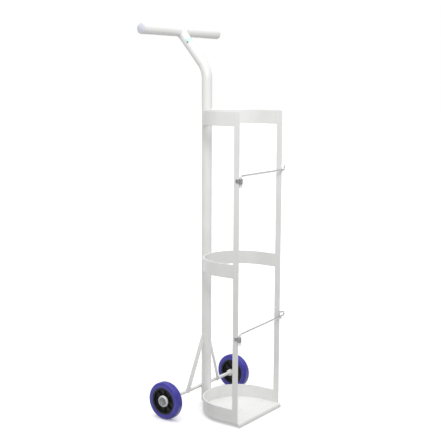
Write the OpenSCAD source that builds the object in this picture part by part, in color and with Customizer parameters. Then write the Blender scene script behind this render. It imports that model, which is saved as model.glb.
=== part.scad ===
// Two-wheeled hospital trolley for one upright gas cylinder, standing empty.
// X runs to the right seen from the open front, -Y is the open front, +Z is up.
// The origin is on the floor, under the middle of the trolley's overall length and width.
// Sizes are in millimetres.

/* [Tubes] */
// Outside diameter of the spine tube and the handle tube
tube_d = 33.7; // [30:0.1:38]
// Wall thickness of both tubes
tube_wall = 2; // [1.5:0.1:3]

/* [Handle] */
// Height at which the spine starts to bend back
bend_z = 1112; // [1060:1:1180]
// Radius of the bend, at the middle of the tube
bend_r = 87; // [70:1:110]
// Angle by which the neck leans back from vertical
neck_angle = 41; // [25:1:50]
// Length of the straight neck, from the end of the bend to the axis of the handle
neck_len = 135; // [110:1:170]
// Length of the handle tube without its end plugs
handle_len = 402; // [340:2:460]
// Height of the dome on each end plug
plug_dome = 4; // [2:0.5:7]

/* [Cylinder bay] */
// Outside radius of the three hoops
hoop_r = 125; // [115:1:135]
// Thickness of the flat bar that the hoops and uprights are made of
band_t = 4; // [3:0.5:5]
// Height of each hoop
band_h = 45; // [35:1:55]
// Distance from the spine axis to the front edges of the uprights
bay_depth = 217; // [205:1:235]
// Depth of each upright, front to back
upright_w = 20; // [16:1:25]
// Height of the upper edge of the top hoop
top_hoop_z = 1014; // [960:1:1040]
// Height of the upper edge of the middle hoop
middle_hoop_z = 534; // [480:1:590]

/* [Base] */
// Height of the underside of the base plate above the floor
base_z = 12; // [10:0.5:16]
// Thickness of the base plate
plate_t = 3; // [2:0.5:4]
// Outside radius of the fold at the front of the base plate
lip_r = 9; // [6:0.5:9]

/* [Wheels] */
// Diameter of each wheel
wheel_d = 125; // [115:1:140]
// Width of each tyre
tyre_w = 30; // [26:1:34]
// Diameter of the black wheel centre
centre_d = 90; // [84:1:94]
// Distance from the middle of the trolley to the middle of each wheel
wheel_x = 195; // [185:1:210]
// Diameter of the axle
axle_d = 12; // [10:0.5:14]

/* [Struts] */
// Width of the flat bar of the struts
strut_w = 15; // [12:1:24]
// Thickness of the flat bar of the struts
strut_t = 4; // [3:0.5:5]
// Height of the top of the struts on the spine
strut_top_z = 250; // [220:1:280]
// Distance from the middle of the trolley to the foot of each strut
strut_foot_x = 88; // [70:1:110]

/* [Retaining bars] */
// Diameter of the rod of the retaining bars
rod_d = 6; // [5:0.5:8]
// Height of the upper bar at its hinge
upper_bar_z = 816.5; // [700:0.5:900]
// Upward slope of the upper bar
upper_rise = 0.5; // [0:0.5:3]
// Height of the lower bar at its hinge
lower_bar_z = 310.5; // [250:0.5:400]
// Upward slope of the lower bar
lower_rise = 2.5; // [0:0.5:4]
// Outside diameter of the hinge barrels
barrel_d = 12; // [11:0.5:14]
// Length of the hinge barrels
barrel_len = 16; // [14:1:30]

/* [Hidden] */
$fn = 96;

powder_coat = [0.93, 0.93, 0.90];
plug_grey = [0.74, 0.74, 0.82];
tyre_blue = [0.20, 0.19, 0.62];
centre_black = [0.07, 0.07, 0.08];
zinc = [0.68, 0.69, 0.70];
cover_grey = [0.72, 0.73, 0.76];
label_green = [0.60, 0.86, 0.74];

cut = 1;                                        // extra length of a shape that cuts or merges
play = 0.05;                                    // radial clearance of a running fit
gap = 0.4;                                      // clearance between pieces that move past each other
seat = 0.6;                                     // depth to which a weld seats one piece in another
lap = 0.3;                                      // overlap of each straight length with the bend beside it
bend_thinning = 0.04;                           // tubes and rods thin a little where they are bent
plug_flange = 1.5;                              // height of the straight rim below a plug's dome
tube_r = tube_d / 2;
bore_d = tube_d - 2 * tube_wall;
handle_reach = bend_r * (1 - cos(neck_angle)) + neck_len * sin(neck_angle) + tube_r;
shelf_len = 14;                                 // how far the keepers stand out in front of the uprights
spine_y = (bay_depth + shelf_len - handle_reach) / 2;
front_y = spine_y - bay_depth;
hoop_y = spine_y - tube_r - hoop_r + seat;      // centre of the hoops' half circle
hoop_leg = hoop_y - front_y - upright_w;        // straight run from the half circle to the uprights
plate_top = base_z + plate_t;
saddle = 1;                                     // depth of the notch in the spine that the axle sits in
axle_y = spine_y + tube_r + axle_d / 2 - saddle;
axle_z = wheel_d / 2;

// Wheel stack along the axle, outwards from the collar
hub_w = tyre_w + 2;
hub_inner_x = wheel_x - hub_w / 2;
hub_outer_x = wheel_x + hub_w / 2;
washer_t = 1.6;
washer_d = 24;
collar_d = 22;
collar_w = 10;
collar_x = hub_inner_x - gap - washer_t;
cap_d = 22;
cap_h = 7;
cap_wall = 1;                                   // metal between the end of the axle and the cap's top
bush_d = 20;
hub_d = 30;
cover_d = 39;
axle_end_x = hub_outer_x + gap + washer_t + cap_h - cap_wall;

// Retaining bars: the leg turns in the barrel, and the arm crosses the open front
hinge_x = -(hoop_r - 3);
hinge_y = front_y - barrel_d / 2 + gap;
elbow_r = 8;                                    // radius of the bend between leg and arm
tip_r = 7.5;                                    // radius of the bend at the upper bar's tip
grip_r = 6.5;                                   // radius of the return bend at the lower bar's free end
grip_turn = 173;                                // angle of that bend
washer_gap = 0.3;                               // end play between the barrel and the washer above it
pin_washer_t = 1.2;
pin_washer_d = 11;
pin_cap_d = 10;
pin_cap_h = 10;
pin_cap_floor = 2;
barrel_drop = elbow_r + pin_washer_t + washer_gap;  // from the height of the arm down to the barrel
leg_len = pin_washer_t + washer_gap + barrel_len + gap + pin_cap_h - pin_cap_floor;
upper_overhang = 7.5;                           // how far each bar runs past the right upright
lower_overhang = 18.5;
upper_arm = hoop_r - hinge_x - elbow_r - tip_r + upper_overhang;
lower_arm = hoop_r - hinge_x - elbow_r - grip_r + lower_overhang;
tip_rise = 8;                                   // straight end of the upper bar's upturned tip
grip_len = 40;                                  // length of the lower bar's return leg

// ---- Helpers ----

// Places its children at the end of the bend, with Z along the neck
module on_neck() {
    translate([0, spine_y + bend_r * (1 - cos(neck_angle)), bend_z + bend_r * sin(neck_angle)])
        rotate([-neck_angle, 0, 0])
            children();
}

// Places its children on the middle of the handle, with Z along the handle to the right
module on_handle() {
    on_neck()
        translate([0, 0, neck_len])
            rotate([0, 90, 0])
                children();
}

// Solid bar that follows the spine: straight, bent back, then straight along the neck
module spine_solid(d, extra = 0) {
    translate([0, spine_y, plate_top - extra])
        cylinder(d = d, h = bend_z - plate_top + extra + lap);
    translate([0, spine_y + bend_r, bend_z])
        rotate([90, 0, -90])
            rotate_extrude(angle = neck_angle)
                translate([bend_r, 0])
                    circle(d = d - bend_thinning);
    on_neck()
        translate([0, 0, -lap])
            cylinder(d = d, h = neck_len + lap);
}

module handle_solid(d, extra = 0) {
    on_handle()
        cylinder(d = d, h = handle_len + 2 * extra, center = true);
}

// Cylinder along X at the height of the axle, from one x to another
module on_axle(from_x, to_x, d) {
    translate([from_x, axle_y, axle_z])
        rotate([0, 90, 0])
            cylinder(d = d, h = to_x - from_x);
}

// Ring on the axle
module axle_ring(from_x, to_x, d, hole_d) {
    difference() {
        on_axle(from_x, to_x, d);
        on_axle(from_x - cut, to_x + cut, hole_d);
    }
}

// Its children and their mirror image on the other side of the trolley
module both_sides() {
    children();
    mirror([1, 0, 0])
        children();
}

// Half section of a round button with a straight rim and a domed top, for rotate_extrude
module dome_section(r, rim, dome) {
    ball_r = (r * r + dome * dome) / (2 * dome);
    intersection() {
        translate([0, rim + dome - ball_r])
            circle(r = ball_r);
        square([r, rim + dome]);
    }
}

// Domed push-in end plug, with +Z pointing out of the tube
module tube_plug(dome) {
    spigot_len = 16;
    rotate_extrude() {
        translate([0, -spigot_len])
            square([bore_d / 2, spigot_len + plug_flange / 2]);
        dome_section(tube_r, plug_flange, dome);
    }
}

// ---- Frame ----

module spine_tube() {
    color(powder_coat)
        difference() {
            spine_solid(tube_d);
            spine_solid(bore_d, cut);
            handle_solid(tube_d);
            on_axle(-2 * tube_d, 2 * tube_d, axle_d);
        }
}

module handle_bar() {
    color(powder_coat)
        difference() {
            handle_solid(tube_d);
            handle_solid(bore_d, cut);
        }
}

// side is -1 for the left end and 1 for the right end
module handle_plug(side) {
    color(plug_grey)
        on_handle()
            translate([0, 0, side * handle_len / 2])
                rotate([side < 0 ? 180 : 0, 0, 0])
                    tube_plug(plug_dome);
}

module spine_foot_plug() {
    color(plug_grey)
        translate([0, spine_y, plate_top])
            rotate([180, 0, 0])
                tube_plug(plate_t - plug_flange);
}

// Blank label bent round the front left of the neck
module neck_label() {
    label_t = 0.3;
    label_h = 16;
    label_span = 84;
    label_facing = 235;                         // direction that the middle of the label faces
    label_below_handle = 40;
    color(label_green)
        on_neck()
            translate([0, 0, neck_len - tube_r - label_below_handle])
                rotate([0, 0, label_facing - label_span / 2])
                    rotate_extrude(angle = label_span)
                        translate([tube_r, 0])
                            square([label_t, label_h]);
}

// ---- Cylinder bay ----

// Half circle with two straight legs towards the front
module hoop_outline(r, leg) {
    translate([0, hoop_y]) {
        intersection() {
            circle(r = r);
            translate([-r, 0])
                square([2 * r, r]);
        }
        translate([-r, -leg])
            square([2 * r, leg]);
    }
}

module hoop(upper_edge) {
    color(powder_coat)
        difference() {
            translate([0, 0, upper_edge - band_h])
                linear_extrude(band_h)
                    difference() {
                        hoop_outline(hoop_r, hoop_leg);
                        hoop_outline(hoop_r - band_t, hoop_leg + cut);
                    }
            translate([0, spine_y, upper_edge - band_h - cut])
                cylinder(d = tube_d, h = band_h + 2 * cut);
        }
}

// Flat bar from the base to the top hoop; side is -1 for left and 1 for right
module upright(side) {
    color(powder_coat)
        difference() {
            translate([side > 0 ? hoop_r - band_t : -hoop_r, front_y, base_z])
                cube([band_t, upright_w, top_hoop_z - base_z]);
            barrel_space(upper_bar_z);
            barrel_space(lower_bar_z);
        }
}

module base_plate() {
    color(powder_coat) {
        translate([0, 0, base_z])
            linear_extrude(plate_t)
                hoop_outline(hoop_r - band_t, hoop_y - front_y);
        translate([-hoop_r, front_y, base_z])
            rotate([90, 0, 90])
                linear_extrude(2 * hoop_r)
                    lip_section();
    }
}

// Section of the folded front edge, down to the floor
module lip_section() {
    difference() {
        intersection() {
            translate([0, plate_t - lip_r])
                circle(r = lip_r);
            translate([-lip_r, plate_t - lip_r])
                square(lip_r);
        }
        translate([0, plate_t - lip_r])
            circle(r = lip_r - plate_t);
    }
    translate([-lip_r, -base_z])
        square([plate_t, base_z + plate_t - lip_r]);
}

// ---- Struts and axle ----

// Flat bar from the side of the spine down to the front of the axle, on the left
module left_strut_bar() {
    strut_roll = -10;                           // turn of the bar about its own length
    foot = [-strut_foot_x, axle_y - axle_d / 2 - strut_t / 2, axle_z];
    top = [3 - tube_r, spine_y + 2, strut_top_z];   // just inside the side of the spine
    run = top - foot;
    tail = 3;                                   // length of the bar below the middle of the axle
    difference() {
        translate(foot)
            rotate([0, acos(run[2] / norm(run)), atan2(run[1], run[0])])
                rotate([0, 0, strut_roll])
                    translate([-strut_w / 2, -strut_t / 2, -tail])
                        cube([strut_w, strut_t, norm(run) + tail]);
        translate([0, spine_y, axle_z])
            cylinder(d = tube_d, h = 2 * strut_top_z);
        on_axle(-wheel_x, wheel_x, axle_d);
    }
}

module left_strut() {
    color(powder_coat)
        left_strut_bar();
}

module right_strut() {
    color(powder_coat)
        mirror([1, 0, 0])
            left_strut_bar();
}

module axle() {
    chamfer = 1;
    color(powder_coat) {
        on_axle(-axle_end_x + chamfer, axle_end_x - chamfer, axle_d);
        both_sides()
            translate([axle_end_x - chamfer, axle_y, axle_z])
                rotate([0, 90, 0])
                    cylinder(d1 = axle_d, d2 = axle_d - 2 * chamfer, h = chamfer);
    }
}

module axle_collars() {
    color(powder_coat)
        both_sides()
            axle_ring(collar_x - collar_w, collar_x, collar_d, axle_d);
}

module inner_washers() {
    color(zinc)
        both_sides()
            axle_ring(collar_x, collar_x + washer_t, washer_d, axle_d);
}

module outer_washers() {
    color(zinc)
        both_sides()
            axle_ring(hub_outer_x + gap, hub_outer_x + gap + washer_t, washer_d, axle_d);
}

// Domed push-on caps that keep the wheels on the axle
module axle_end_caps() {
    color(zinc)
        both_sides()
            difference() {
                translate([hub_outer_x + gap + washer_t, axle_y, axle_z])
                    rotate([0, 90, 0])
                        rotate_extrude()
                            dome_section(cap_d / 2, cap_h / 2, cap_h / 2);
                axle();
            }
}

// ---- Wheels ----

// Places its children, made around Z, on one wheel with Z pointing outwards
module on_wheel(side) {
    translate([side * wheel_x, axle_y, axle_z])
        rotate([0, side * 90, 0])
            children();
}

module tyre(side) {
    shoulder_r = 12;
    color(tyre_blue)
        on_wheel(side)
            rotate_extrude()
                intersection() {
                    union() {
                        for (s = [-1, 1])
                            translate([wheel_d / 2 - shoulder_r, s * (tyre_w / 2 - shoulder_r)])
                                circle(r = shoulder_r);
                        translate([0, -tyre_w / 2])
                            square([wheel_d / 2 - shoulder_r, tyre_w]);
                        translate([0, shoulder_r - tyre_w / 2])
                            square([wheel_d / 2, tyre_w - 2 * shoulder_r]);
                    }
                    translate([centre_d / 2, -tyre_w / 2])
                        square([wheel_d / 2, tyre_w]);
                }
}

// Moulded centre: a rim ring, a thin web with ribs on both faces, and the hub
module wheel_centre(side) {
    rim_t = 6;
    web_t = 7;
    rib_t = 3;
    rib_count = 8;
    rib_h = 19;
    rim_w = tyre_w - 2;
    rim_inner = centre_d / 2 - rim_t;
    color(centre_black)
        on_wheel(side)
            difference() {
                union() {
                    difference() {
                        cylinder(d = centre_d, h = rim_w, center = true);
                        cylinder(r = rim_inner, h = rim_w + cut, center = true);
                    }
                    cylinder(r = rim_inner + cut, h = web_t, center = true);
                    cylinder(d = hub_d, h = hub_w, center = true);
                    for (k = [0 : rib_count - 1])
                        rotate([0, 0, k * 360 / rib_count])
                            translate([hub_d / 2 - cut, -rib_t / 2, -rib_h / 2])
                                cube([rim_inner - hub_d / 2 + 2 * cut, rib_t, rib_h]);
                }
                cylinder(d = bush_d, h = hub_w + cut, center = true);
            }
}

module hub_bush(side) {
    color(zinc)
        on_wheel(side)
            difference() {
                cylinder(d = bush_d, h = hub_w, center = true);
                cylinder(d = axle_d + 2 * play, h = hub_w + cut, center = true);
            }
}

// Cover ring pressed over the hub on the outer face of the wheel
module hub_cover(side) {
    cover_h = 7;
    cover_t = 1.5;
    color(cover_grey)
        on_wheel(side)
            translate([0, 0, hub_w / 2 - cover_h + cover_t])
                difference() {
                    cylinder(d1 = cover_d, d2 = cover_d - 4, h = cover_h);
                    translate([0, 0, -cut])
                        cylinder(d = hub_d, h = cover_h - cover_t + cut);
                    cylinder(d = washer_d + 2, h = cover_h + cut);
                }
}

// ---- Retaining bars ----

// Follows a list of steps, heading along +X with +Z as left: ["go", length] or ["bend", radius, angle]
module bent_rod(steps, k = 0) {
    if (k < len(steps)) {
        step = steps[k];
        if (step[0] == "go") {
            lap_before = k > 0 ? lap : 0;
            lap_after = k < len(steps) - 1 ? lap : 0;
            translate([-lap_before, 0, 0])
                rotate([0, 90, 0])
                    cylinder(d = rod_d, h = step[1] + lap_before + lap_after);
            translate([step[1], 0, 0])
                bent_rod(steps, k + 1);
        } else {
            radius = step[1];
            angle = step[2];
            turn = angle < 0 ? -1 : 1;
            mirror([0, 0, turn < 0 ? 1 : 0])
                translate([0, 0, radius])
                    rotate([90, 0, 0])
                        rotate([0, 0, -90])
                            rotate_extrude(angle = abs(angle), $fn = 48)
                                translate([radius, 0])
                                    circle(d = rod_d - bend_thinning);
            translate([radius * sin(abs(angle)), 0, turn * radius * (1 - cos(angle))])
                rotate([0, -angle, 0])
                    bent_rod(steps, k + 1);
        }
    }
}

// Places its children on a hinge axis at the height of the top of its barrel
module on_hinge(bar_z) {
    translate([hinge_x, hinge_y, bar_z - barrel_drop])
        children();
}

module barrel_space(bar_z) {
    on_hinge(bar_z)
        translate([0, 0, -barrel_len])
            cylinder(d = barrel_d, h = barrel_len);
}

// Knuckle round the bar's leg, with a leaf welded to the outside of the upright
module hinge_barrel(bar_z) {
    leaf_t = 2.6;
    leaf_h = 12;
    leaf_drop = 1;                              // from the top of the knuckle to the top of the leaf
    leaf_start = 2;                             // behind the hinge axis, inside the knuckle's wall
    leaf_end = front_y + 11 - hinge_y;
    color(zinc)
        on_hinge(bar_z)
            difference() {
                union() {
                    translate([0, 0, -barrel_len])
                        cylinder(d = barrel_d, h = barrel_len);
                    translate([-hoop_r - hinge_x - leaf_t, leaf_start, -leaf_drop - leaf_h])
                        cube([leaf_t, leaf_end - leaf_start, leaf_h]);
                }
                translate([0, 0, -barrel_len - cut])
                    cylinder(d = rod_d + 2 * play, h = barrel_len + 2 * cut);
            }
}

// Leg, elbow and arm, then the steps of the free end
module retaining_bar(bar_z, rise, arm, free_end) {
    color(zinc)
        on_hinge(bar_z)
            translate([0, 0, pin_washer_t + washer_gap - leg_len])
                rotate([0, -90, 0])
                    bent_rod(concat([["go", leg_len], ["bend", elbow_r, rise - 90], ["go", arm]], free_end));
}

module hinge_washer(bar_z) {
    color(zinc)
        on_hinge(bar_z)
            translate([0, 0, washer_gap])
                difference() {
                    cylinder(d = pin_washer_d, h = pin_washer_t);
                    translate([0, 0, -cut])
                        cylinder(d = rod_d, h = pin_washer_t + 2 * cut);
                }
}

// Cap pressed on the lower end of the leg
module pin_cap(bar_z) {
    color(zinc)
        on_hinge(bar_z)
            translate([0, 0, -barrel_len - gap - pin_cap_h])
                difference() {
                    cylinder(d = pin_cap_d, h = pin_cap_h);
                    translate([0, 0, pin_cap_floor])
                        cylinder(d = rod_d, h = pin_cap_h);
                }
}

// Folded bracket on the right upright, with a shelf that the closed bar rests on
module bar_keeper(bar_z, rise) {
    keeper_w = 14;
    keeper_t = 2.2;
    back_up = 9;                                // height of the back above the middle of the bar
    inner_x = hoop_r - keeper_w;
    bar_here = bar_z + (inner_x - hinge_x - elbow_r) * tan(rise);
    shelf_top = bar_here - rod_d / 2 - gap;
    color(powder_coat) {
        translate([inner_x, front_y - keeper_t, shelf_top - keeper_t])
            cube([keeper_w, keeper_t, keeper_t + gap + rod_d / 2 + back_up]);
        translate([inner_x, front_y - shelf_len, shelf_top - keeper_t])
            cube([keeper_w, shelf_len - keeper_t, keeper_t]);
    }
}

spine_tube();
handle_bar();
handle_plug(-1);  // handle_plug_left
handle_plug(1);  // handle_plug_right
spine_foot_plug();
neck_label();
hoop(top_hoop_z);  // top_hoop
hoop(middle_hoop_z);  // middle_hoop
hoop(base_z + band_h);  // bottom_hoop
upright(-1);  // left_upright
upright(1);  // right_upright
base_plate();
left_strut();
right_strut();
axle();
axle_collars();
inner_washers();
outer_washers();
axle_end_caps();
hinge_barrel(upper_bar_z);  // upper_hinge_barrel
hinge_barrel(lower_bar_z);  // lower_hinge_barrel
bar_keeper(upper_bar_z, upper_rise);  // upper_bar_keeper
bar_keeper(lower_bar_z, lower_rise);  // lower_bar_keeper
tyre(-1);  // left_tyre
wheel_centre(-1);  // left_wheel_centre
hub_bush(-1);  // left_hub_bush
hub_cover(-1);  // left_hub_cover
tyre(1);  // right_tyre
wheel_centre(1);  // right_wheel_centre
hub_bush(1);  // right_hub_bush
hub_cover(1);  // right_hub_cover
retaining_bar(upper_bar_z, upper_rise, upper_arm, [["bend", tip_r, 90], ["go", tip_rise]]);  // upper_retaining_bar
hinge_washer(upper_bar_z);  // upper_hinge_washer
pin_cap(upper_bar_z);  // upper_pin_cap
retaining_bar(lower_bar_z, lower_rise, lower_arm, [["bend", grip_r, grip_turn], ["go", grip_len]]);  // lower_retaining_bar
hinge_washer(lower_bar_z);  // lower_hinge_washer
pin_cap(lower_bar_z);  // lower_pin_cap
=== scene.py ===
import math

import bmesh
import bpy
from mathutils import Matrix, Vector


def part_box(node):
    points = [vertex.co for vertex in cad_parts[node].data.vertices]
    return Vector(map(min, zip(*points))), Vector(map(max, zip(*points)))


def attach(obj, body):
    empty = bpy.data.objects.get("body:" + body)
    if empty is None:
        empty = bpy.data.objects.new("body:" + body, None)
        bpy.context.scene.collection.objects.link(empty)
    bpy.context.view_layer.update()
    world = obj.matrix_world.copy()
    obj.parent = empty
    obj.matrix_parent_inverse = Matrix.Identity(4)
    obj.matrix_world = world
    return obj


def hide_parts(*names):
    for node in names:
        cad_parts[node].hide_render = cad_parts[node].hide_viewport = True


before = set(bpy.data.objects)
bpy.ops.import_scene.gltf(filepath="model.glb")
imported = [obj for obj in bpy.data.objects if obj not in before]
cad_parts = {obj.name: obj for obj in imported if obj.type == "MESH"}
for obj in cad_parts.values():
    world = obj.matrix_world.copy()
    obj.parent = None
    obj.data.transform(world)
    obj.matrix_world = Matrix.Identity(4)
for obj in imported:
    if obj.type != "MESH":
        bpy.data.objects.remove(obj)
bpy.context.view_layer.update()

X, Y, Z = Vector((1, 0, 0)), Vector((0, 1, 0)), Vector((0, 0, 1))
SIDES = {"left": -1, "right": 1}
YZ_PLANE = Matrix(((0, 0, 1, 0), (1, 0, 0, 0), (0, 1, 0, 0), (0, 0, 0, 1)))    # X to Y, Y to Z, Z to X

# ---- Sizes that the frame's boxes don't give ----

BEND_R = 0.087                       # spine bend, at the middle of the tube
NECK_ANGLE = math.radians(41)        # lean of the neck from upright
TUBE_WALL = 0.002
TUBE_SIDES = 64                      # faces round each tube
PLUG_RIM, PLUG_SPIGOT = 0.0015, 0.016
FOLD_R = 0.009                       # outside radius of the fold at the front of the base plate
PLATE_T = 0.003
STRUT_W, STRUT_T = 0.015, 0.004
STRUT_ROLL = math.radians(-10)       # turn of each strut about its own length
STRUT_FOOT_X, STRUT_TOP_Z = 0.088, 0.250
STRUT_TAIL = 0.003                   # length of the strut below the middle of the axle
STRUT_TOP_IN = 0.003                 # how far inside the spine's side the strut's middle ends
STRUT_TOP_BACK = 0.002               # how far behind the spine's middle it ends
HUB_R = 0.015
WEB_T, RIB_W, RIB_COUNT = 0.007, 0.019, 8
KEEPER_T = 0.0022
PIN_PLAY = 0.0001
ELBOW_R = 0.008                      # bend of each bar above its hinge
BAR_RISE = {"upper": math.radians(0.5), "lower": math.radians(2.5)}
END_R = {"upper": 0.0075, "lower": 0.0065}              # bend at the free end of each bar
END_TURN = {"upper": math.radians(90), "lower": math.radians(173)}
END_LEN = {"upper": 0.008, "lower": 0.040}
LEAF_T, LEAF_H, LEAF_DROP = 0.0026, 0.012, 0.001
EDGE, FINE_EDGE = 0.0007, 0.0004     # rounding along the edges of flat bar, and of sheet
LABEL_H, LABEL_SPAN, LABEL_FACING = 0.016, math.radians(84), math.radians(235)
FILM_T, LABEL_CORNER = 0.0003, 0.003
DOT_W, DOT_TURN, DOT_DROP = 0.0058, math.radians(-32), 0.0048


# ---- Sizes from the frame ----

def low(node):
    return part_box(node)[0]


def high(node):
    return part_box(node)[1]


def middle(node):
    return (low(node) + high(node)) / 2


def size(node):
    return high(node) - low(node)


TUBE_R = size("spine_tube").x / 2
SPINE_Y = low("spine_tube").y + TUBE_R
HANDLE = middle("handle_bar")
NECK_LEN = (HANDLE.y - SPINE_Y - BEND_R * (1 - math.cos(NECK_ANGLE))) / math.sin(NECK_ANGLE)
BEND_Z = HANDLE.z - BEND_R * math.sin(NECK_ANGLE) - NECK_LEN * math.cos(NECK_ANGLE)
BAND_T = size("left_upright").x
HOOP_R = high("top_hoop").x
HOOP_SEAT = 0.0006                   # how far each hoop sinks into the spine
HOOP_Y = SPINE_Y - TUBE_R - HOOP_R + HOOP_SEAT
FRONT_Y = low("left_upright").y
PLATE_TOP = high("base_plate").z
AXLE = middle("axle")
AXLE_R = size("axle").z / 2
BARREL_R = size("upper_hinge_barrel").x / 2
HINGE = {bar: Vector((middle(bar + "_hinge_barrel").x, low(bar + "_hinge_barrel").y + BARREL_R,
                      middle(bar + "_hinge_barrel").z)) for bar in BAR_RISE}


# ---- Outlines ----

def rounded(corners, steps=5):
    """Closed outline through corners (x, y, radius), with an arc at each corner that has a radius."""
    points = []
    for i, (x, y, radius) in enumerate(corners):
        corner = Vector((x, y))
        if radius <= 0:
            points.append(corner)
            continue
        back = (Vector(corners[i - 1][:2]) - corner).normalized()
        ahead = (Vector(corners[(i + 1) % len(corners)][:2]) - corner).normalized()
        half = back.angle(ahead) / 2
        centre = corner + (back + ahead).normalized() * radius / math.sin(half)
        start = corner + back * radius / math.tan(half) - centre
        turn = math.pi - 2 * half
        if back.x * ahead.y - back.y * ahead.x > 0:
            turn = -turn
        points += [centre + Matrix.Rotation(turn * k / steps, 2) @ start for k in range(steps + 1)]
    return points


def rectangle(width, height, radius, steps=5):
    """Rounded rectangle about the origin."""
    a, b = width / 2, height / 2
    return rounded([(-a, -b, radius), (a, -b, radius), (a, b, radius), (-a, b, radius)], steps)


def circle(radius, steps=48):
    angles = (2 * math.pi * k / steps for k in range(steps))
    return [Vector((math.cos(a), math.sin(a))) * radius for a in angles]


def track(start, heading, normal, *steps):
    """Points along a flat path of steps: ("go", length), or ("bend", radius, angle) about the normal."""
    at, along = Vector(start), Vector(heading).normalized()
    points = [at.copy()]
    for step in steps:
        if step[0] == "go":
            at = at + along * step[1]
            points.append(at.copy())
            continue
        radius, angle = step[1:]
        centre = at + normal.cross(along) * math.copysign(radius, angle)
        arm = at - centre
        count = max(6, round(abs(angle) / math.radians(3.75)))
        for k in range(1, count + 1):
            points.append(centre + Matrix.Rotation(angle * k / count, 3, normal) @ arm)
        at = points[-1].copy()
        along = Matrix.Rotation(angle, 3, normal) @ along
    return points


# ---- Solids: each gives (vertices, faces) ----

def loft(rings, closed=False):
    """Skin over rings of equal length, with flat ends, or closed into a loop."""
    count = len(rings[0])
    verts = [Vector(p) for ring in rings for p in ring]
    faces = []
    for i in range(len(rings) if closed else len(rings) - 1):
        a, b = i * count, (i + 1) % len(rings) * count
        faces += [(a + k, a + (k + 1) % count, b + (k + 1) % count, b + k) for k in range(count)]
    if not closed:
        faces.append(tuple(range(count - 1, -1, -1)))
        faces.append(tuple(range(len(verts) - count, len(verts))))
    return verts, faces


def revolve(outline, place=Matrix(), steps=96):
    """Solid of revolution of a closed outline of (radius, height) points about the Z axis of place."""
    rings = []
    for k in range(steps):
        turn = Matrix.Rotation(2 * math.pi * k / steps, 4, "Z")
        rings.append([place @ turn @ Vector((r, 0, h)) for r, h in outline])
    return loft(rings, closed=True)


def sweep(section, path, normal, scales=None):
    """Section of (side, up) points carried along a flat path; up is the path's normal."""
    rings = []
    for i, point in enumerate(path):
        along = (path[min(i + 1, len(path) - 1)] - path[max(i - 1, 0)]).normalized()
        side = along.cross(normal).normalized()
        scale = scales[i] if scales else 1
        rings.append([point + (side * a + normal * b) * scale for a, b in section])
    return loft(rings)


def slab(outline, thickness, place=Matrix(), edge=EDGE, steps=4):
    """Plate with its outline in the XY plane of place, and both rims rounded."""
    count = len(outline)
    inward = []
    for i, p in enumerate(outline):
        back = (p - outline[i - 1]).normalized()
        ahead = (outline[(i + 1) % count] - p).normalized()
        mitre = Vector((-back.y - ahead.y, back.x + ahead.x))
        inward.append(mitre.normalized() / max(0.3, math.sqrt((1 + back.dot(ahead)) / 2)))
    rings = []
    for k in range(steps + 1):
        angle = math.pi / 2 * k / steps
        rings.append((edge * (1 - math.sin(angle)), -thickness / 2 + edge * (1 - math.cos(angle))))
    rings += [(inset, -height) for inset, height in reversed(rings)]
    return loft([[place @ (p + inward[i] * inset).to_3d() + place.to_3x3() @ Z * height
                  for i, p in enumerate(outline)] for inset, height in rings])


RIPPLE = 0.0016                      # from one ripple of a weld to the next
BEAD_SIDES = 10


def bead(path, radius, normal):
    """Weld bead: a small round section with ripples along it and tapered ends."""
    points, travelled = [path[0]], [0.0]
    for a, b in zip(path, path[1:]):
        count = max(1, round((b - a).length / (RIPPLE / 4)))
        for k in range(1, count + 1):
            points.append(a.lerp(b, k / count))
            travelled.append(travelled[-1] + (b - a).length / count)
    total = travelled[-1]
    scales = []
    for s in travelled:
        end = min(s, total - s) / (1.5 * radius)
        taper = math.sqrt(max(0.04, 1 - (1 - min(1, end)) ** 2))
        wave = abs(math.sin(math.pi * s / RIPPLE))
        scales.append(taper * (0.9 + 0.1 * wave + 0.04 * math.sin(s * 391)))
    return sweep(circle(radius, BEAD_SIDES), points, normal, scales)


def ring_bead(point_at, place, radius, steps=240):
    """Weld bead on a closed curve: point_at(angle) gives the curve's point about the Z axis of place."""
    rings = []
    curve = [place @ point_at(2 * math.pi * k / steps) for k in range(steps)]
    length = sum((curve[k] - curve[k - 1]).length for k in range(steps))
    waves = round(length / RIPPLE)
    for k, point in enumerate(curve):
        along = (curve[(k + 1) % steps] - curve[k - 1]).normalized()
        out = point - place.translation
        out = (out - along * out.dot(along)).normalized()
        up = along.cross(out)
        scale = radius * (0.92 + 0.08 * math.cos(2 * math.pi * waves * k / steps))
        rings.append([point + (out * p.x + up * p.y) * scale for p in circle(1, BEAD_SIDES)])
    return loft(rings, closed=True)


def joined(*solids):
    """One (vertices, faces) of several."""
    verts, faces = [], []
    for more_verts, more_faces in solids:
        start = len(verts)
        verts += more_verts
        faces += [tuple(start + i for i in face) for face in more_faces]
    return verts, faces


# ---- Materials ----

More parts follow.
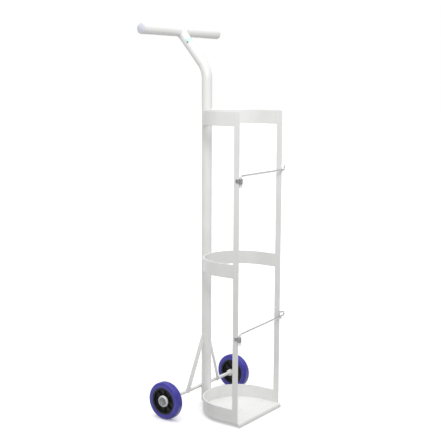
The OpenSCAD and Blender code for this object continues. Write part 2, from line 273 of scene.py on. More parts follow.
class Graph:
    """A node material under construction."""

    def __init__(self, name):
        self.material = bpy.data.materials.new(name)
        self.material.use_nodes = True
        self.nodes, self.links = self.material.node_tree.nodes, self.material.node_tree.links
        self.shader = self.nodes["Principled BSDF"]
        self.coordinates = self.nodes.new("ShaderNodeTexCoord").outputs["Object"]

    def noise(self, scale, detail=2.0, stretch=(1, 1, 1)):
        """Noise of so many cells a metre."""
        mapping = self.nodes.new("ShaderNodeMapping")
        mapping.inputs["Scale"].default_value = stretch
        texture = self.nodes.new("ShaderNodeTexNoise")
        texture.inputs["Scale"].default_value = scale
        texture.inputs["Detail"].default_value = detail
        self.links.new(self.coordinates, mapping.inputs["Vector"])
        self.links.new(mapping.outputs["Vector"], texture.inputs["Vector"])
        return texture.outputs["Fac"]

    def spread(self, value, from_low, from_high, to_low, to_high):
        """Maps one range of a value to another, and clamps it."""
        node = self.nodes.new("ShaderNodeMapRange")
        limits = (from_low, from_high, to_low, to_high)
        for socket, limit in zip(("From Min", "From Max", "To Min", "To Max"), limits):
            node.inputs[socket].default_value = limit
        self.links.new(value, node.inputs["Value"])
        return node.outputs["Result"]

    def mix(self, share, first, second):
        """Colour between two colours, each a tuple or an output."""
        node = self.nodes.new("ShaderNodeMix")
        node.data_type = "RGBA"
        self.links.new(share, node.inputs["Factor"])
        for socket, colour in ((node.inputs[6], first), (node.inputs[7], second)):
            if isinstance(colour, tuple):
                socket.default_value = (*colour, 1)
            else:
                self.links.new(colour, socket)
        return node.outputs[2]

    def times(self, first, second):
        node = self.nodes.new("ShaderNodeMath")
        node.operation = "MULTIPLY"
        self.links.new(first, node.inputs[0])
        self.links.new(second, node.inputs[1])
        return node.outputs[0]

    def height(self):
        """Height above the floor."""
        node = self.nodes.new("ShaderNodeSeparateXYZ")
        self.links.new(self.coordinates, node.inputs[0])
        return node.outputs["Z"]

    def bump(self, value, distance):
        node = self.nodes.new("ShaderNodeBump")
        node.inputs["Distance"].default_value = distance
        node.inputs["Strength"].default_value = 1.0
        self.links.new(value, node.inputs["Height"])
        self.links.new(node.outputs["Normal"], self.shader.inputs["Normal"])

    def set(self, **values):
        """Sets sockets of the shader, each to a constant or from another node."""
        for name, value in values.items():
            socket = self.shader.inputs[name.replace("_", " ")]
            if isinstance(value, bpy.types.NodeSocket):
                self.links.new(value, socket)
            else:
                socket.default_value = value


def powder_coat_material():
    """Off-white polyester powder: fine orange peel, slight yellowing, scuffs near the floor."""
    g = Graph("powder_coat")
    tone = g.mix(g.spread(g.noise(9, 3), 0.35, 0.68, 0, 1), (0.80, 0.80, 0.785), (0.84, 0.84, 0.832))
    scratches = g.spread(g.noise(60, 6, (1, 1, 7)), 0.60, 0.70, 0, 1)
    near_floor = g.spread(g.height(), 0.0, 0.06, 0.35, 0.0)
    g.set(Base_Color=g.mix(g.times(scratches, near_floor), tone, (0.42, 0.42, 0.41)),
          Roughness=g.spread(g.noise(140, 3), 0.3, 0.7, 0.33, 0.46),
          Coat_Weight=0.15, Coat_Roughness=0.25)
    g.bump(g.noise(620, 2), 0.00006)
    return g.material


def metal_material(name, dark, light, rough_low, rough_high):
    """Plated steel: a faint spangle and draw marks."""
    g = Graph(name)
    g.set(Base_Color=g.mix(g.spread(g.noise(220, 4), 0.35, 0.65, 0, 1), dark, light),
          Metallic=1.0,
          Roughness=g.spread(g.noise(400, 3, (1, 1, 0.2)), 0.3, 0.7, rough_low, rough_high))
    g.bump(g.noise(1500, 2, (1, 1, 0.15)), 0.00003)
    return g.material


def rubber_material():
    """Blue elastic rubber: slightly mottled, with a satin sheen and fine pits."""
    g = Graph("tyre_rubber")
    tone = g.mix(g.spread(g.noise(45, 4), 0.3, 0.7, 0, 1), (0.019, 0.013, 0.27), (0.036, 0.029, 0.38))
    dust = g.spread(g.noise(160, 5), 0.58, 0.74, 0, 0.18)
    g.set(Base_Color=g.mix(dust, tone, (0.11, 0.10, 0.36)),
          Roughness=g.spread(g.noise(300, 3), 0.3, 0.7, 0.26, 0.38),
          Sheen_Weight=0.04, Sheen_Roughness=0.4, Specular_IOR_Level=0.6)
    g.bump(g.noise(1100, 3), 0.00008)
    return g.material


def black_plastic_material():
    """Black polyamide: moulded grain, with greyer patches."""
    g = Graph("centre_plastic")
    g.set(Base_Color=g.mix(g.spread(g.noise(80, 4), 0.35, 0.7, 0, 1),
                           (0.004, 0.0045, 0.005), (0.010, 0.011, 0.0115)),
          Roughness=g.spread(g.noise(500, 3), 0.3, 0.7, 0.42, 0.60), Specular_IOR_Level=0.3)
    g.bump(g.noise(1800, 2), 0.00005)
    return g.material


def pale_plastic_material(name, dark, light, grain=900):
    """Moulded plastic in two close tones, with a fine grain."""
    g = Graph(name)
    g.set(Base_Color=g.mix(g.spread(g.noise(70, 4), 0.3, 0.7, 0, 1), dark, light),
          Roughness=g.spread(g.noise(260, 3), 0.3, 0.7, 0.38, 0.54),
          Subsurface_Weight=0.05)
    g.bump(g.noise(grain, 2), 0.00006)
    return g.material


MATERIALS = {
    "powder_coat": powder_coat_material(),
    "zinc_steel": metal_material("zinc_steel", (0.50, 0.51, 0.52), (0.63, 0.64, 0.645), 0.28, 0.46),
    # Hinge finish: plated steel whose colour is darkened well below the zinc's as painted shade round the
    # hinges.
    "hinge_steel_with_painted_shade": metal_material("hinge_steel_with_painted_shade", (0.20, 0.205, 0.21), (0.31, 0.315, 0.32), 0.38, 0.55),
    "cap_steel": metal_material("cap_steel", (0.17, 0.175, 0.18), (0.27, 0.275, 0.28), 0.30, 0.45),
    "tyre_rubber": rubber_material(),
    "centre_plastic": black_plastic_material(),
    "plug_plastic": pale_plastic_material("plug_plastic", (0.66, 0.65, 0.73), (0.74, 0.73, 0.80)),
    "cover_plastic": pale_plastic_material("cover_plastic", (0.74, 0.75, 0.77), (0.83, 0.835, 0.85)),
    "label_film": pale_plastic_material("label_film", (0.56, 0.80, 0.71), (0.63, 0.84, 0.76), 400),
    "label_ink": pale_plastic_material("label_ink", (0.10, 0.14, 0.14), (0.14, 0.18, 0.18), 400),
}


# ---- Pieces ----

MERGE, TINY_EDGE = 2e-7, 1e-7


def piece(name, solid, slot, body="frame", stands_for=(), sharp=38, finish=None):
    """Makes an object of a solid, on its body, in place of the CAD nodes it stands for.

    Edges steeper than sharp degrees stay hard. finish is the material's name, where it isn't the slot's.
    """
    mesh = bpy.data.meshes.new(name)
    mesh.from_pydata([tuple(v) for v in solid[0]], [], solid[1])
    work = bmesh.new()
    work.from_mesh(mesh)
    bmesh.ops.remove_doubles(work, verts=work.verts, dist=MERGE)
    bmesh.ops.dissolve_degenerate(work, edges=work.edges, dist=TINY_EDGE)
    bmesh.ops.recalc_face_normals(work, faces=work.faces)
    work.to_mesh(mesh)
    work.free()
    mesh.shade_smooth()
    mesh.set_sharp_from_angle(angle=math.radians(sharp))
    mesh.materials.append(MATERIALS[finish or slot])
    obj = bpy.data.objects.new(name, mesh)
    bpy.context.scene.collection.objects.link(obj)
    weighted = obj.modifiers.new("weighted_normals", "WEIGHTED_NORMAL")
    weighted.keep_sharp = True
    weighted.weight = 80
    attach(obj, body)
    if stands_for:
        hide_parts(*stands_for)
    return obj


def placed(origin, axis):
    """Matrix that puts +Z along axis at origin."""
    return Matrix.Translation(origin) @ Z.rotation_difference(Vector(axis)).to_matrix().to_4x4()


# ---- Spine, handle and plugs ----

spine_path = track((0, SPINE_Y, low("spine_tube").z), Z, -X,
                   ("go", BEND_Z - low("spine_tube").z), ("bend", BEND_R, NECK_ANGLE), ("go", NECK_LEN))
NECK = (spine_path[-1] - spine_path[-2]).normalized()


def spine_solid():
    """Tube wall along the spine, coped to the handle at the top."""
    walls = []
    for radius in (TUBE_R, TUBE_R - TUBE_WALL):
        section = circle(radius, TUBE_SIDES)
        verts, _ = sweep(section, spine_path, -X)
        rings = [verts[i:i + TUBE_SIDES] for i in range(0, len(verts), TUBE_SIDES)]
        rings[-1] = [p - NECK * math.sqrt(max(0, TUBE_R ** 2 - across ** 2))
                     for p, (across, _) in zip(rings[-1], section)]
        walls.append(rings)
    outer, inner = walls
    return loft(outer + inner[::-1], closed=True)


def plug_outline(dome):
    """Half section of a push-in plug with a thin rim and a dome, +height pointing out of the tube."""
    bore_r = TUBE_R - TUBE_WALL
    groove, shoulder = 0.0004, 0.0003
    ball = (TUBE_R ** 2 + dome ** 2) / (2 * dome)
    radii = [TUBE_R * math.sin(math.pi / 2 * k / 14) for k in range(14, -1, -1)]
    top = [(min(r, TUBE_R - shoulder), PLUG_RIM + dome - ball + math.sqrt(ball ** 2 - r ** 2)) for r in radii]
    return [(0, -PLUG_SPIGOT), (bore_r, -PLUG_SPIGOT), (bore_r, 0), (TUBE_R - groove, 0), (TUBE_R, groove),
            (TUBE_R, PLUG_RIM - groove)] + top


piece("spine_tube_skin", spine_solid(), "powder_coat", stands_for=["spine_tube"])

half_handle = size("handle_bar").x / 2
chamfer = 0.0005
handle_outline = [(TUBE_R - TUBE_WALL, -half_handle), (TUBE_R - chamfer, -half_handle),
                  (TUBE_R, -half_handle + chamfer), (TUBE_R, half_handle - chamfer),
                  (TUBE_R - chamfer, half_handle), (TUBE_R - TUBE_WALL, half_handle)]
piece("handle_bar_skin", revolve(handle_outline, placed(HANDLE, X), TUBE_SIDES), "powder_coat",
      stands_for=["handle_bar"])

plug_dome = size("handle_plug_left").x - PLUG_SPIGOT - PLUG_RIM
for side_name, side in SIDES.items():
    node = "handle_plug_" + side_name
    face = HANDLE + X * side * half_handle
    plug = revolve(plug_outline(plug_dome), placed(face, X * side), TUBE_SIDES)
    piece(node + "_skin", plug, "plug_plastic", stands_for=[node])

spine_foot = (0, SPINE_Y, low("spine_tube").z)
foot_dome = PLATE_TOP - low("spine_foot_plug").z - PLUG_RIM
piece("spine_foot_plug_skin", revolve(plug_outline(foot_dome), placed(spine_foot, -Z), TUBE_SIDES),
      "plug_plastic", stands_for=["spine_foot_plug"])


# ---- Hoops, uprights and base ----

band = rectangle(BAND_T, size("top_hoop").z, EDGE)
for hoop in ("top_hoop", "middle_hoop", "bottom_hoop"):
    leg_y = low(hoop).y
    start = Vector((-(HOOP_R - BAND_T / 2), leg_y, middle(hoop).z))
    line = track(start, Y, Z, ("go", HOOP_Y - leg_y), ("bend", HOOP_R - BAND_T / 2, -math.pi),
                 ("go", HOOP_Y - leg_y))
    piece(hoop + "_skin", sweep(band, line, Z), "powder_coat", stands_for=[hoop])

UPRIGHT_CORNER = 0.0015
for side_name in SIDES:
    node = side_name + "_upright"
    outline = rectangle(size(node).y, size(node).z, UPRIGHT_CORNER)
    place = Matrix.Translation(middle(node)) @ YZ_PLANE
    piece(node + "_skin", slab(outline, BAND_T, place), "powder_coat", stands_for=[node])


def base_solid():
    """Base plate, folded down to the floor along its front edge."""
    inner_r = HOOP_R - BAND_T
    fold_y, fold_z = FRONT_Y, PLATE_TOP - FOLD_R
    soft = 0.0006

    def fold(radius):
        angles = [math.pi / 2 * k / 8 for k in range(9)]
        return [(fold_y - radius * math.sin(a), fold_z + radius * math.cos(a)) for a in angles]

    lip_out, lip_in = fold_y - FOLD_R, fold_y - FOLD_R + PLATE_T
    lip_foot = [(lip_out, soft), (lip_out + soft * 0.3, soft * 0.3), (lip_out + soft, 0),
                (lip_in - soft, 0), (lip_in - soft * 0.3, soft * 0.3), (lip_in, soft)]

    def section(x, back):
        outline = [(back, PLATE_TOP)] + fold(FOLD_R) + lip_foot + fold(FOLD_R - PLATE_T)[::-1]
        outline.append((back, PLATE_TOP - PLATE_T))
        return [Vector((x, y, z)) for y, z in outline]

    stations = []
    curve = [math.pi / 2 * k / 24 for k in range(-24, 25)]
    for angle in curve:
        stations.append(section(inner_r * math.sin(angle), HOOP_Y + inner_r * math.cos(angle)))
    ends = [section(-inner_r, FRONT_Y), section(inner_r, FRONT_Y)]
    tips = [section(-HOOP_R, FRONT_Y), section(HOOP_R, FRONT_Y)]
    return loft([tips[0], ends[0]] + stations + [ends[1], tips[1]])


piece("base_plate_skin", base_solid(), "powder_coat", stands_for=["base_plate"])

# ---- Struts and axle ----

strut_ends = {}
for side_name, side in SIDES.items():
    node = side_name + "_strut"
    foot = Vector((-STRUT_FOOT_X, AXLE.y - AXLE_R - STRUT_T / 2, AXLE.z))
    top = Vector((STRUT_TOP_IN - TUBE_R, SPINE_Y + STRUT_TOP_BACK, STRUT_TOP_Z))
    run = top - foot
    lean = Matrix.Rotation(math.atan2(run.y, run.x), 3, "Z") @ Matrix.Rotation(run.angle(Z), 3, "Y")
    lean = lean @ Matrix.Rotation(STRUT_ROLL, 3, "Z")
    foot, top, across, flat, along = (Vector((-side * v.x, v.y, v.z))
                                      for v in (foot, top, lean.col[0], -lean.col[1], lean.col[2]))
    length = run.length + STRUT_TAIL
    centre = foot + along * (run.length - STRUT_TAIL) / 2
    place = Matrix.Translation(centre) @ Matrix((across, along, flat)).transposed().to_4x4()
    piece(node + "_skin", slab(rectangle(STRUT_W, length, 0.002), STRUT_T, place), "powder_coat",
          stands_for=[node])
    strut_ends[side] = (foot, top, along, across, flat)

AXLE_TIP = 0.001                     # chamfer
half_axle = size("axle").x / 2
axle_outline = [(0, -half_axle), (AXLE_R - AXLE_TIP, -half_axle), (AXLE_R, -half_axle + AXLE_TIP),
                (AXLE_R, half_axle - AXLE_TIP), (AXLE_R - AXLE_TIP, half_axle), (0, half_axle)]
piece("axle_skin", revolve(axle_outline, placed(AXLE, X), 48), "powder_coat", stands_for=["axle"])


def ring_outline(inner, outer, half, edge):
    """Section of a flat ring, rounded at its outer edges."""
    return rounded([(inner, -half, 0), (outer, -half, edge), (outer, half, edge), (inner, half, 0)], 4)


def inner_end(node):
    """Where the right one of a pair on the axle starts, measured from the middle of the trolley."""
    return min(v.co.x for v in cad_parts[node].data.vertices if v.co.x > 0)


def ring_pair(node, slot, edge):
    """A pair of rings on the axle, one by each wheel, at the places that the node's box gives."""
    start, end = inner_end(node), high(node).x
    outline = ring_outline(AXLE_R, size(node).z / 2, (end - start) / 2, edge)
    solids = []
    for side in SIDES.values():
        centre = Vector((side * (start + end) / 2, AXLE.y, AXLE.z))
        solids.append(revolve(outline, placed(centre, X * side), 48))
    piece(node + "_skin", joined(*solids), slot, stands_for=[node])


ring_pair("axle_collars", "powder_coat", 0.001)
ring_pair("inner_washers", "zinc_steel", 0.0003)
ring_pair("outer_washers", "zinc_steel", 0.0003)

cap_r = size("axle_end_caps").z / 2
cap_base = inner_end("axle_end_caps")
cap_h = high("axle_end_caps").x - cap_base
cap_skirt, cap_rim, bore_end = cap_h * 0.42, 0.0006, cap_h * 0.8
dome = [(cap_r * math.sin(a), cap_skirt + (cap_h - cap_skirt) * math.cos(a))
        for a in (math.pi / 2 * k / 12 for k in range(11, -1, -1))]
cap_outline = [(0, bore_end), (AXLE_R, bore_end), (AXLE_R, 0), (cap_r, 0), (cap_r, cap_rim),
               (cap_r - cap_rim, 2 * cap_rim), (cap_r - cap_rim, cap_skirt * 0.8)] + dome
caps = [revolve(cap_outline, placed(Vector((side * cap_base, AXLE.y, AXLE.z)), X * side), 48)
        for side in SIDES.values()]
piece("axle_end_caps_skin", joined(*caps), "zinc_steel", stands_for=["axle_end_caps"], finish="cap_steel")

# ---- Wheels ----


def tyre_outline(r, w, bore):
    """Flat sidewall with a raised ring, round shoulders, and a mould line round the tread."""
    half, crown, line, flank = w / 2, 0.0013, 0.0012, r - 0.00008
    side = [(bore, 0.0012, 0.0), (bore + 0.0010, 0.0004, 0.0004), (bore + 0.004, 0.0004, 0.0006),
            (bore + 0.0048, 0.0, 0.0006)]
    lower = [(x, -half + z, radius) for x, z, radius in side]
    upper = [(x, half - z, radius) for x, z, radius in reversed(side)]
    tread = [(r - crown, -half, 0.0085), (r, -half * 0.45, 0.010), (flank, -line, 0), (r, 0, 0.0002),
             (flank, line, 0), (r, half * 0.45, 0.010), (r - crown, half, 0.0085)]
    return rounded(lower + tread + upper, 8)


def centre_outline(r, w, hub_w, bore):
    """Rim with a bead, a web, and a hub, each blended into the next."""
    rim_half, rim_in = w / 2 - 0.001, r - 0.006
    half = [(bore, hub_w / 2, 0.0004), (HUB_R, hub_w / 2, 0.0010), (HUB_R + 0.0015, WEB_T / 2, 0.003),
            (rim_in - 0.0012, WEB_T / 2, 0.003), (rim_in, rim_half - 0.0015, 0.0006),
            (rim_in + 0.0012, rim_half, 0.0006), (r, rim_half, 0.0006)]
    lower = [(x, -z, radius) for x, z, radius in half]
    return rounded(lower + half[::-1], 4)


def rib(angle, inner, outer, face, place):
    """One rib with drafted sides, standing on one face of the web (face is 1 or -1)."""
    root, crest, soft = 0.0042, 0.0024, 0.0006
    base, top = face * (WEB_T / 2 - 0.0005), face * RIB_W / 2
    waist = base + (top - base) * 0.25
    half = [(root / 2, base), (root / 2 * 0.75, waist), (crest / 2 + 0.0002, top - face * soft),
            (crest / 2 - 0.0004, top)]
    section = [(-half[0][0], base)] + half + [(-across, up) for across, up in half[:0:-1]]
    turn = Matrix.Rotation(angle, 4, "Z")
    return loft([[place @ turn @ Vector((r, across, up)) for across, up in section] for r in (inner, outer)])


def cover_outline(r, top, skirt):
    """Ring round the end of the hub, with a round outer edge and a step down to the axle's cap."""
    inner, step, seat = HUB_R + 0.0002, top - 0.0006, top - 0.0015
    return rounded([(inner, skirt, 0), (r, skirt, 0.0005), (r - 0.0006, top - 0.003, 0.002),
                    (r - 0.0030, top, 0.0012), (r - 0.0046, top, 0.0004), (r - 0.0050, step, 0.0003),
                    (0.0136, step, 0.0004), (0.0130, seat, 0), (inner, seat, 0)], 4)


for side_name, side in SIDES.items():
    body = side_name + "_wheel"
    tyre, centre = side_name + "_tyre", side_name + "_wheel_centre"
    bush, cover = side_name + "_hub_bush", side_name + "_hub_cover"
    at = placed(middle(tyre), X * side)
    tyre_w, hub_w = size(tyre).x, size(centre).x
    centre_r, bush_r = size(centre).z / 2, size(bush).z / 2

    piece(body + "_tyre_skin", revolve(tyre_outline(size(tyre).z / 2, tyre_w, centre_r), at, 160),
          "tyre_rubber", body, [tyre])
    parts = [revolve(centre_outline(centre_r, tyre_w, hub_w, bush_r), at, 128)]
    for k in range(RIB_COUNT):
        for face in (1, -1):
            parts.append(rib(2 * math.pi * k / RIB_COUNT, HUB_R - 0.0005, centre_r - 0.0055, face, at))
    piece(body + "_centre_skin", joined(*parts), "centre_plastic", body, [centre])
    bush_section = ring_outline(AXLE_R + PIN_PLAY, bush_r, hub_w / 2, 0.0004)
    piece(body + "_bush_skin", revolve(bush_section, at, 48), "zinc_steel", body, [bush])
    cover_top = size(cover).x / 2 + abs(middle(cover).x) - abs(middle(tyre).x)
    cover_section = cover_outline(size(cover).z / 2, cover_top, cover_top - size(cover).x)
    piece(body + "_cover_skin", revolve(cover_section, at, 96), "cover_plastic", body, [cover])

# ---- Retaining bars with their hinges and keepers ----


def rod_solid(path, radius, normal):
    """Round rod along a path, with domed ends."""
    dome = radius * 0.45
    angles = [math.pi / 2 * k / 5 for k in range(6)]
    first, last = (path[1] - path[0]).normalized(), (path[-1] - path[-2]).normalized()
    shrink = [1 - 0.45 * (1 - math.sin(a)) for a in angles]
    start = [path[0] + first * dome * (1 - math.cos(a)) for a in angles]
    end = [path[-1] - last * dome * (1 - math.cos(a)) for a in angles][::-1]
    return sweep(circle(radius, 28), start + path[1:-1] + end, normal,
                 shrink + [1] * (len(path) - 2) + shrink[::-1])


def hinge_solid(barrel, hinge, rod_r):
    """Knuckle round the pin, with a leaf on the outer face of the left upright. Both take a plated-steel
    finish darkened well below the zinc's as painted shade.
    """
    half, inner, edge = size(barrel).z / 2, rod_r + PIN_PLAY, 0.0008
    section = rounded([(inner, -half, 0), (BARREL_R, -half, edge), (BARREL_R, half, edge),
                       (inner, half, 0)], 5)
    leaf_start, leaf_end = hinge.y + 0.002, high(barrel).y
    leaf_middle = Vector((low("left_upright").x - LEAF_T / 2, (leaf_start + leaf_end) / 2,
                          hinge.z + half - LEAF_DROP - LEAF_H / 2))
    leaf = slab(rectangle(leaf_end - leaf_start, LEAF_H, 0.002), LEAF_T,
                Matrix.Translation(leaf_middle) @ YZ_PLANE, FINE_EDGE)
    return joined(revolve(section, Matrix.Translation(hinge), 48), leaf)


def keeper_solid(keeper):
    """Sheet bracket with a shelf that the closed bar rests on, and an upturned front."""
    lo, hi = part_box(keeper)
    depth, height = hi.y - lo.y, hi.z - lo.z
    bend_in, edge = 0.0006, 0.0008
    profile = rounded([(0, 0, edge), (depth, 0, KEEPER_T + bend_in), (depth, height, edge),
                       (depth - KEEPER_T, height, edge), (depth - KEEPER_T, KEEPER_T, bend_in),
                       (0, KEEPER_T, edge)], 5)
    place = Matrix.Translation(((lo.x + hi.x) / 2, lo.y, lo.z)) @ YZ_PLANE
    return slab(profile, hi.x - lo.x, place, FINE_EDGE)


for bar, rise in BAR_RISE.items():
    body, node = bar + "_bar", bar + "_retaining_bar"
    barrel, washer, cap = bar + "_hinge_barrel", bar + "_hinge_washer", bar + "_pin_cap"
    keeper, hinge, rod_r = bar + "_bar_keeper", HINGE[bar], size(node).y / 2

    start = Vector((hinge.x, hinge.y, low(node).z))
    reach = high(node).x - rod_r - hinge.x - (ELBOW_R + END_R[bar]) * (1 - math.sin(rise))
    rod_path = track(start, Z, Y,
                     ("go", high(washer).z - start.z), ("bend", ELBOW_R, math.pi / 2 - rise),
                     ("go", reach / math.cos(rise)), ("bend", END_R[bar], -END_TURN[bar]),
                     ("go", END_LEN[bar]))
    piece(node + "_skin", rod_solid(rod_path, rod_r, Y), "zinc_steel", body, [node])
    # The hinge gets the darker steel finish, which is partly painted shade.
    piece(barrel + "_skin", hinge_solid(barrel, hinge, rod_r), "zinc_steel", stands_for=[barrel],
          finish="hinge_steel_with_painted_shade")

    section = ring_outline(rod_r, size(washer).x / 2, size(washer).z / 2, 0.0003)
    piece(washer + "_skin", revolve(section, Matrix.Translation(middle(washer)), 48), "zinc_steel", body,
          [washer])

    half, cap_r, floor_z = size(cap).z / 2, size(cap).x / 2, 0.002 - size(cap).z / 2
    section = rounded([(0, -half, 0), (cap_r, -half, 0.0016), (cap_r, half, 0.0005), (rod_r, half, 0),
                       (rod_r, floor_z, 0), (0, floor_z, 0)], 5)
    piece(cap + "_skin", revolve(section, Matrix.Translation(middle(cap)), 48), "zinc_steel", body, [cap])
    piece(keeper + "_skin", keeper_solid(keeper), "powder_coat", stands_for=[keeper])

# ---- Weld beads ----


def weld(name, beads):
    piece(name, joined(*beads), "powder_coat", sharp=60)


def upright_bead(x, y, bottom, top, radius):
    """Bead along a vertical line."""
    return bead([Vector((x, y, bottom)), Vector((x, y, top))], radius, X)


hoop_beads, joint_beads = [], []
BEAD_X = 0.0068                      # from the middle of the spine to each of its beads
bead_y = SPINE_Y - math.sqrt(TUBE_R ** 2 - BEAD_X ** 2) - HOOP_SEAT
for hoop in ("top_hoop", "middle_hoop", "bottom_hoop"):
    lo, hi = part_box(hoop)
    for side in SIDES.values():
        hoop_beads.append(upright_bead(side * BEAD_X, bead_y, lo.z + 0.003, hi.z - 0.003, 0.0022))
        joint_beads.append(upright_bead(side * (HOOP_R - BAND_T), lo.y, lo.z + 0.004, hi.z - 0.004, 0.0013))
weld("hoop_to_spine_welds", hoop_beads)
weld("hoop_to_upright_welds", joint_beads)


def saddle(angle):
    """Point where the outside of the neck meets the outside of the handle, about the neck's axis."""
    x, y = TUBE_R * math.cos(angle), TUBE_R * math.sin(angle)
    return Vector((x, y, -math.sqrt(max(0, TUBE_R ** 2 - y ** 2))))


neck_place = Matrix.Translation(HANDLE) @ Matrix((X, NECK.cross(X), NECK)).transposed().to_4x4()
weld("handle_weld", [ring_bead(saddle, neck_place, 0.0019)])

strut_beads = []
for side, (foot, top, along, across, flat) in strut_ends.items():
    for edge in (-1, 1):
        path = []
        for lift in (-0.002, 0.001, 0.004):
            point = foot + across * edge * STRUT_W / 2
            point += along * (AXLE.z + lift - point.z) / along.z
            point.y = AXLE.y - math.sqrt(AXLE_R ** 2 - lift ** 2)
            path.append(point)
        strut_beads.append(bead(path, 0.0016, X))
    for face in (-1, 1):
        path = []
        for below in (0.030, 0.006):
            point = top - along * below + flat * face * STRUT_T / 2
            radial = Vector((point.x, point.y - SPINE_Y, 0))
            path.append(point + radial.normalized() * (TUBE_R + 0.0004) - radial)
        strut_beads.append(bead(path, 0.0016, flat))
weld("strut_welds", strut_beads)

axle_beads = []
spine_back = SPINE_Y + TUBE_R
for side in SIDES.values():
    for face in (-1, 1):
        start = Vector((side * 0.002, spine_back + 0.0004, AXLE.z + face * (AXLE_R - 0.0008)))
        end = Vector((side * 0.0095, spine_back - 0.0022, AXLE.z + face * (AXLE_R - 0.0022)))
        axle_beads.append(bead([start, end], 0.0018, Z))
weld("axle_welds", axle_beads)

hinge_beads = []
SMALL_BEAD = 0.0011
for bar in HINGE:
    barrel, keeper = bar + "_hinge_barrel", bar + "_bar_keeper"
    x, top_z = low("left_upright").x, high(barrel).z - LEAF_DROP
    for z in (top_z, top_z - LEAF_H):
        path = [Vector((x, FRONT_Y + 0.0015, z)), Vector((x, high(barrel).y - 0.001, z))]
        hinge_beads.append(bead(path, SMALL_BEAD, Z))
    lo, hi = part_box(keeper)
    for x in (lo.x + 0.010, HOOP_R - 0.0002):
        hinge_beads.append(upright_bead(x, FRONT_Y - 0.0002, lo.z + 0.003, hi.z - 0.002, SMALL_BEAD))
weld("hinge_and_keeper_welds", hinge_beads)

# ---- Label on the neck ----


def film(width, height, corner, facing, below, lifts):
    """Round-cornered film bent round the neck: width runs round the tube, height along it.

    below is the middle's distance from the handle's axis; lifts are the two faces' distances from the tube.
    """
    front = X.cross(NECK).normalized()
    centre = spine_path[-1] - NECK * below
    turns = [math.pi / 2 * k / 6 for k in range(6, -1, -1)]
    left = [(-width / 2 + corner * (1 - math.sin(a)), corner * (1 - math.cos(a))) for a in turns]
    flat = [(-width / 2 + corner + (width - 2 * corner) * k / 14, 0) for k in range(1, 14)]
    right = [(-u, inset) for u, inset in left[::-1]]
    rings = []
    for u, inset in left + flat + right:
        angle = facing + u / TUBE_R
        out = X * math.cos(angle) - front * math.sin(angle)
        reach = max(height / 2 - inset, height / 200)
        rings.append([centre + NECK * v + out * (TUBE_R + lift) for v, lift in
                      ((-reach, lifts[0]), (reach, lifts[0]), (reach, lifts[1]), (-reach, lifts[1]))])
    return loft(rings)


label_below = -(middle("neck_label") - HANDLE).dot(NECK)
label = film(LABEL_SPAN * (TUBE_R + FILM_T), LABEL_H, LABEL_CORNER, LABEL_FACING, label_below,
             (0.00002, FILM_T))
piece("neck_label_skin", label, "label_film", stands_for=["neck_label"])
dot = film(DOT_W, DOT_W, DOT_W * 0.49, LABEL_FACING + DOT_TURN, label_below + DOT_DROP,
           (FILM_T - 0.00005, FILM_T + 0.00008))
piece("neck_label_dot", dot, "label_film", finish="label_ink")

# ---- Stage ----

FLOOR_REACH, FLOOR_DROP = 30, 0.0005
floor_mesh = bpy.data.meshes.new("studio_floor")
floor_corners = [(x * FLOOR_REACH, y * FLOOR_REACH, 0) for x, y in ((-1, -1), (1, -1), (1, 1), (-1, 1))]
floor_mesh.from_pydata(floor_corners, [], [(0, 1, 2, 3)])
floor = bpy.data.objects.new("studio_floor", floor_mesh)
bpy.context.scene.collection.objects.link(floor)
floor.location.z = -FLOOR_DROP
g = Graph("studio_paper")
g.set(Base_Color=g.mix(g.noise(3, 2), (0.88, 0.88, 0.88), (0.92, 0.92, 0.92)), Roughness=0.9,
      Emission_Color=(1, 1, 1, 1), Emission_Strength=0.22)
floor_mesh.materials.append(g.material)
floor.visible_diffuse = False        # keeps the undersides in shade

# ---- Light ----

LIGHT_BELOW, LIGHT_ABOVE = 0.32, 0.87
TOP_FROM, TOP_ENERGY, TOP_WIDTH = (-0.4, -0.2, 4.0), 1.15, math.radians(60)
KEY_AT, KEY_AIM, KEY_ENERGY = (-1.6, -1.5, 2.1), (0, 0, 1.30), 118
KEY_RADIUS, KEY_CONE = 0.5, math.radians(56)


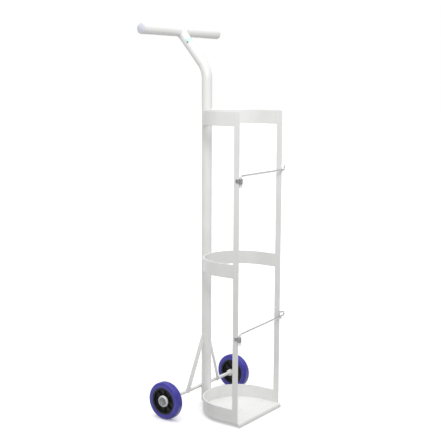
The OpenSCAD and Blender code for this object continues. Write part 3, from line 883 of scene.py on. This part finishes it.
def studio_world():
    """Pale surroundings, brighter above than below, that the camera sees as plain white."""
    world = bpy.data.worlds.new("studio")
    bpy.context.scene.world = world
    world.use_nodes = True
    nodes, links = world.node_tree.nodes, world.node_tree.links
    background = nodes["Background"]
    background.inputs["Color"].default_value = (1, 1, 1, 1)
    direction = nodes.new("ShaderNodeSeparateXYZ")
    links.new(nodes.new("ShaderNodeTexCoord").outputs["Generated"], direction.inputs[0])
    sky = nodes.new("ShaderNodeMapRange")
    sky.interpolation_type = "SMOOTHSTEP"
    limits = {"From Min": -0.7, "From Max": 0.9, "To Min": LIGHT_BELOW, "To Max": LIGHT_ABOVE}
    for socket, value in limits.items():
        sky.inputs[socket].default_value = value
    links.new(direction.outputs["Z"], sky.inputs["Value"])
    seen = nodes.new("ShaderNodeMix")
    seen.inputs[3].default_value = 1.0
    links.new(nodes.new("ShaderNodeLightPath").outputs["Is Camera Ray"], seen.inputs["Factor"])
    links.new(sky.outputs["Result"], seen.inputs[2])
    links.new(seen.outputs[0], background.inputs["Strength"])


def lamp(name, kind, energy, at, aim):
    """Adds a lamp aimed at a point, and gives its data."""
    data = bpy.data.lights.new(name, kind)
    data.energy = energy
    obj = bpy.data.objects.new(name, data)
    obj.location = at
    obj.rotation_mode = "QUATERNION"
    obj.rotation_quaternion = (Vector(at) - Vector(aim)).to_track_quat("Z", "Y")
    bpy.context.scene.collection.objects.link(obj)
    return data


studio_world()
lamp("top_light", "SUN", TOP_ENERGY, TOP_FROM, (0, 0, 0)).angle = TOP_WIDTH
key = lamp("key_light", "SPOT", KEY_ENERGY, KEY_AT, KEY_AIM)
key.shadow_soft_size, key.spot_size, key.spot_blend = KEY_RADIUS, KEY_CONE, 1.0

# ---- Camera ----

CAMERA_AT = Vector((-2.447, -1.826 + SPINE_Y, 1.101))
CAMERA_AZIMUTH, CAMERA_PITCH, CAMERA_ROLL = math.radians(-54.14), math.radians(8.53), math.radians(0.28)
CAMERA_LENS, SENSOR_WIDTH = 74.74, 36

camera_data = bpy.data.cameras.new("camera")
camera_data.sensor_width = SENSOR_WIDTH
camera_data.lens = CAMERA_LENS
camera = bpy.data.objects.new("camera", camera_data)
bpy.context.scene.collection.objects.link(camera)
turn = Matrix.Rotation(CAMERA_AZIMUTH, 4, "Z") @ Matrix.Rotation(math.pi / 2 - CAMERA_PITCH, 4, "X")
camera.matrix_world = Matrix.Translation(CAMERA_AT) @ turn @ Matrix.Rotation(CAMERA_ROLL, 4, "Z")
bpy.context.scene.camera = camera
bpy.context.scene.view_settings.view_transform = "Standard"
